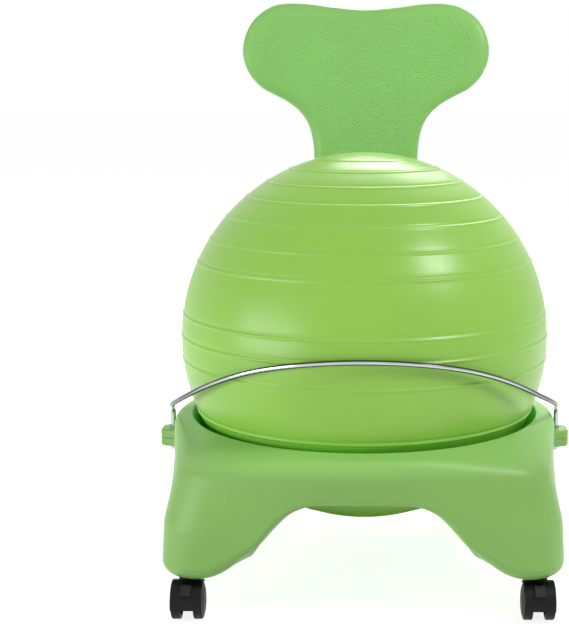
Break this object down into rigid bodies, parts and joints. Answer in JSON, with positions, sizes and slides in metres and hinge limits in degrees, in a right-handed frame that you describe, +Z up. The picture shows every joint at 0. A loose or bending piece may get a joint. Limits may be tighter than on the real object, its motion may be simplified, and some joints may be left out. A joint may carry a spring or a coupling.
{
  "type": "balance ball chair",
  "caption": "Desk chair with an inflated exercise ball as its seat, held in a moulded ring base on swivelling twin-wheel casters, with a chromed retaining bar and a low backrest.",
  "frame": {"origin": "on the floor, straight under the centre of the ball", "axes": "+Z up, +X to the sitter's left as seen from the front (the picture's right), -Y the front, where the sitter's legs go; the backrest is at +Y"},
  "size_m": [0.567, 0.5758, 0.7806],
  "materials": {
    "base_plastic": "satin moulded polyethylene",
    "back_plastic": "satin moulded, dimpled face panel",
    "ball_vinyl": "satin gloss vinyl with raised rings",
    "valve_plastic": "plain",
    "bar_chrome": "bright plated rod",
    "zinc_steel": "zinc plated",
    "black_steel": "black oxide",
    "black_nylon": "moulded, slight sheen",
    "black_tread": "smooth tread"
  },
  "bodies": {
    "base": {"base_front_half": "base_plastic", "base_rear_half": "base_plastic", "retaining_bar": "bar_chrome", "bar_washers": "zinc_steel", "bar_nuts": "zinc_steel", "backrest": "back_plastic", "backrest_bolts": "black_steel", "backrest_washers": "zinc_steel", "backrest_inserts": "zinc_steel", "caster_sockets": "black_nylon", "caster_grip_rings": "zinc_steel", "caster_front_left_stem": "zinc_steel", "caster_front_right_stem": "zinc_steel", "caster_rear_left_stem": "zinc_steel", "caster_rear_right_stem": "zinc_steel"},
    "ball": {"ball": "ball_vinyl", "ball_valve_seat": "valve_plastic"},
    "plug": {"ball_valve_plug": "valve_plastic"},
    "caster_front_left_wheel_a": {"caster_front_left_wheel_a": "black_tread"},
    "caster_front_left_wheel_b": {"caster_front_left_wheel_b": "black_tread"},
    "caster_front_left_brake_lever": {"caster_front_left_brake_lever": "black_nylon"},
    "caster_front_left_hood": {"caster_front_left_hood": "black_nylon", "caster_front_left_axle": "zinc_steel", "caster_front_left_brake_pin": "zinc_steel"},
    "caster_front_right_wheel_a": {"caster_front_right_wheel_a": "black_tread"},
    "caster_front_right_wheel_b": {"caster_front_right_wheel_b": "black_tread"},
    "caster_front_right_brake_lever": {"caster_front_right_brake_lever": "black_nylon"},
    "caster_front_right_hood": {"caster_front_right_hood": "black_nylon", "caster_front_right_axle": "zinc_steel", "caster_front_right_brake_pin": "zinc_steel"},
    "caster_rear_left_wheel_a": {"caster_rear_left_wheel_a": "black_tread"},
    "caster_rear_left_wheel_b": {"caster_rear_left_wheel_b": "black_tread"},
    "caster_rear_left_hood": {"caster_rear_left_hood": "black_nylon", "caster_rear_left_axle": "zinc_steel"},
    "caster_rear_right_wheel_a": {"caster_rear_right_wheel_a": "black_tread"},
    "caster_rear_right_wheel_b": {"caster_rear_right_wheel_b": "black_tread"},
    "caster_rear_right_hood": {"caster_rear_right_hood": "black_nylon", "caster_rear_right_axle": "zinc_steel"}
  },
  "joints": [
    {"name": "ball_turn", "type": "hinge", "parent": "base", "child": "ball", "pos_m": [0, 0, 0.318], "axis": [0, 0, 1], "continuous": true},
    {"name": "valve_plug_pull", "type": "slide", "parent": "ball", "child": "plug", "axis": [0, 0, -1], "range_m": [0, 0.016]},
    {"name": "caster_front_left_swivel", "type": "hinge", "parent": "base", "child": "caster_front_left_hood", "pos_m": [-0.219, -0.219, 0.045], "axis": [0, 0, 1], "continuous": true},
    {"name": "caster_front_left_wheel_a_spin", "type": "hinge", "parent": "caster_front_left_hood", "child": "caster_front_left_wheel_a", "pos_m": [-0.219, -0.235, 0.023], "axis": [1, 0, 0], "continuous": true},
    {"name": "caster_front_left_wheel_b_spin", "type": "hinge", "parent": "caster_front_left_hood", "child": "caster_front_left_wheel_b", "pos_m": [-0.219, -0.235, 0.023], "axis": [1, 0, 0], "continuous": true},
    {"name": "caster_front_left_brake_press", "type": "hinge", "parent": "caster_front_left_hood", "child": "caster_front_left_brake_lever", "pos_m": [-0.219, -0.24687, 0.04128], "axis": [1, 0, 0], "range_deg": [-15, 0]},
    {"name": "caster_front_right_swivel", "type": "hinge", "parent": "base", "child": "caster_front_right_hood", "pos_m": [0.219, -0.219, 0.045], "axis": [0, 0, 1], "continuous": true},
    {"name": "caster_front_right_wheel_a_spin", "type": "hinge", "parent": "caster_front_right_hood", "child": "caster_front_right_wheel_a", "pos_m": [0.219, -0.235, 0.023], "axis": [1, 0, 0], "continuous": true},
    {"name": "caster_front_right_wheel_b_spin", "type": "hinge", "parent": "caster_front_right_hood", "child": "caster_front_right_wheel_b", "pos_m": [0.219, -0.235, 0.023], "axis": [1, 0, 0], "continuous": true},
    {"name": "caster_front_right_brake_press", "type": "hinge", "parent": "caster_front_right_hood", "child": "caster_front_right_brake_lever", "pos_m": [0.219, -0.24687, 0.04128], "axis": [1, 0, 0], "range_deg": [-15, 0]},
    {"name": "caster_rear_left_swivel", "type": "hinge", "parent": "base", "child": "caster_rear_left_hood", "pos_m": [-0.219, 0.219, 0.045], "axis": [0, 0, 1], "continuous": true},
    {"name": "caster_rear_left_wheel_a_spin", "type": "hinge", "parent": "caster_rear_left_hood", "child": "caster_rear_left_wheel_a", "pos_m": [-0.219, 0.235, 0.023], "axis": [1, 0, 0], "continuous": true},
    {"name": "caster_rear_left_wheel_b_spin", "type": "hinge", "parent": "caster_rear_left_hood", "child": "caster_rear_left_wheel_b", "pos_m": [-0.219, 0.235, 0.023], "axis": [1, 0, 0], "continuous": true},
    {"name": "caster_rear_right_swivel", "type": "hinge", "parent": "base", "child": "caster_rear_right_hood", "pos_m": [0.219, 0.219, 0.045], "axis": [0, 0, 1], "continuous": true},
    {"name": "caster_rear_right_wheel_a_spin", "type": "hinge", "parent": "caster_rear_right_hood", "child": "caster_rear_right_wheel_a", "pos_m": [0.219, 0.235, 0.023], "axis": [1, 0, 0], "continuous": true},
    {"name": "caster_rear_right_wheel_b_spin", "type": "hinge", "parent": "caster_rear_right_hood", "child": "caster_rear_right_wheel_b", "pos_m": [0.219, 0.235, 0.023], "axis": [1, 0, 0], "continuous": true}
  ]
}
